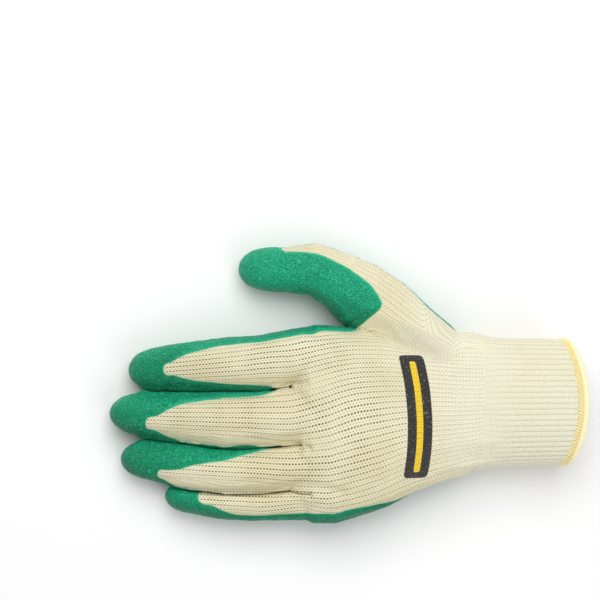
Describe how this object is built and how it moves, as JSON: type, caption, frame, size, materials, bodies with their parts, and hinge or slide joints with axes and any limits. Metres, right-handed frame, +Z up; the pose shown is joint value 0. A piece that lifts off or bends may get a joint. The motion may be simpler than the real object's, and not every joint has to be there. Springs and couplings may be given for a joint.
{
  "type": "latex coated grip glove",
  "caption": "Seamless knitted work glove for the left hand, its palm, fingertips and thumb dipped in crinkled latex, with a ribbed cuff and overlocked hem.",
  "frame": {"origin": "middle of the glove's footprint, on the surface that it lies on", "axes": "+X from the fingertips to the hem, +Y to the thumb, +Z up, out of the back of the hand"},
  "size_m": [0.2504, 0.1486, 0.0406],
  "materials": {
    "cream_knit": "matte seamless cotton knit",
    "green_latex": "satin crinkled latex",
    "rib_knit": "matte ribbed knit",
    "hem_thread": "overlocked thread"
  },
  "bodies": {
    "root": {"knit_liner": "cream_knit", "latex_coating": "green_latex", "rib_cuff": "rib_knit", "cuff_hem": "hem_thread"}
  },
  "joints": []
}
